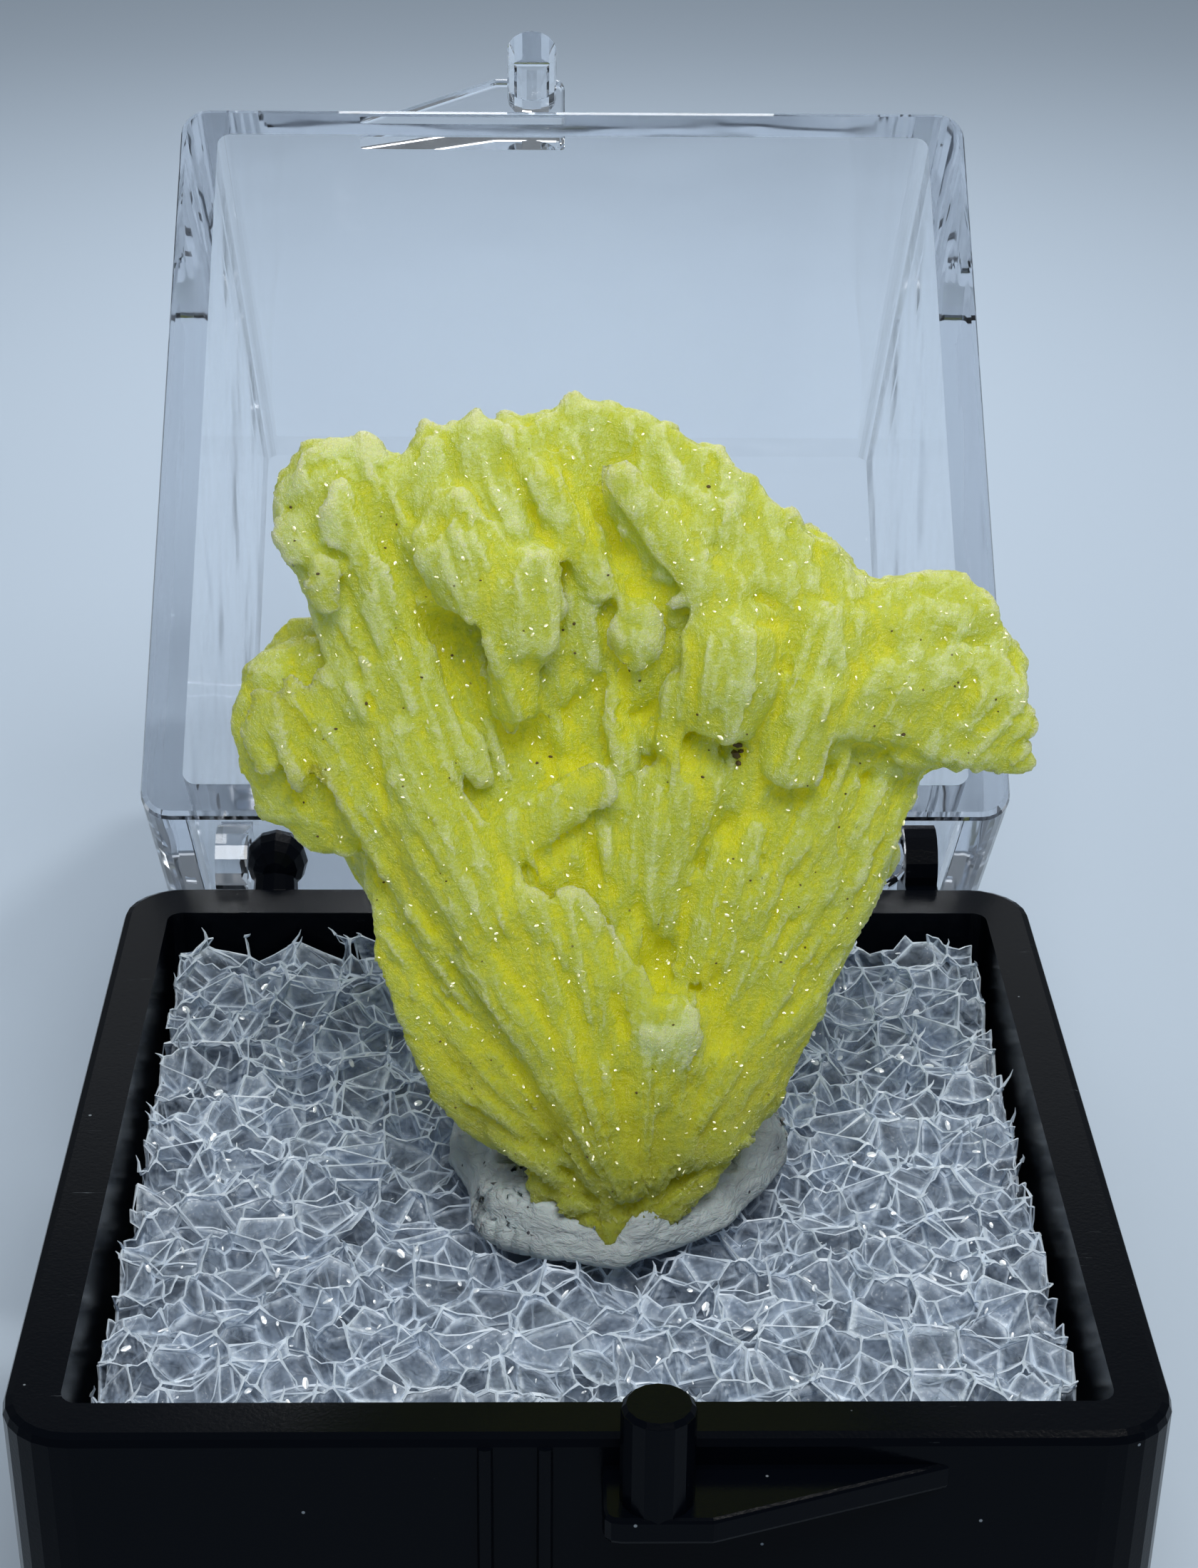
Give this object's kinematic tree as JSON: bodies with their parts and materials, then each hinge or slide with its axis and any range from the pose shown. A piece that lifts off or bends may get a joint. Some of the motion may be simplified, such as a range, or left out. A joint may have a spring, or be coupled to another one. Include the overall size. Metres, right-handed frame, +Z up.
{
  "type": "boxed mineral specimen",
  "caption": "Fan-shaped cluster of bladed yellow sulfur crystals held by putty on foam in a small hinged box with a black tray and a clear lid.",
  "frame": {"origin": "centre of the flat underside of the tray", "axes": "+Z up, -Y to the latch side that faces the viewer, +Y to the hinge and the open lid, +X to the viewer's right"},
  "size_m": [0.0318, 0.0775, 0.0427],
  "materials": {
    "black_plastic": "glossy moulded black polystyrene with light handling scratches",
    "clear_plastic": "clear glossy moulded polystyrene",
    "foam": "open-faced white polyethylene foam, cut through its cells",
    "putty": "matt light grey mounting putty",
    "sulfur": "translucent lemon-yellow sulfur with frosted faces and glassy broken edges"
  },
  "bodies": {
    "box": {"base_tray": "black_plastic", "foam_block": "foam", "putty": "putty", "sulfur_cluster": "sulfur"},
    "lid": {"lid": "clear_plastic"}
  },
  "joints": [
    {"name": "lid_hinge", "type": "hinge", "parent": "box", "child": "lid", "pos_m": [0, 0.01758, 0.01865], "axis": [1, 0, 0], "range_deg": [0, 141.3]}
  ]
}
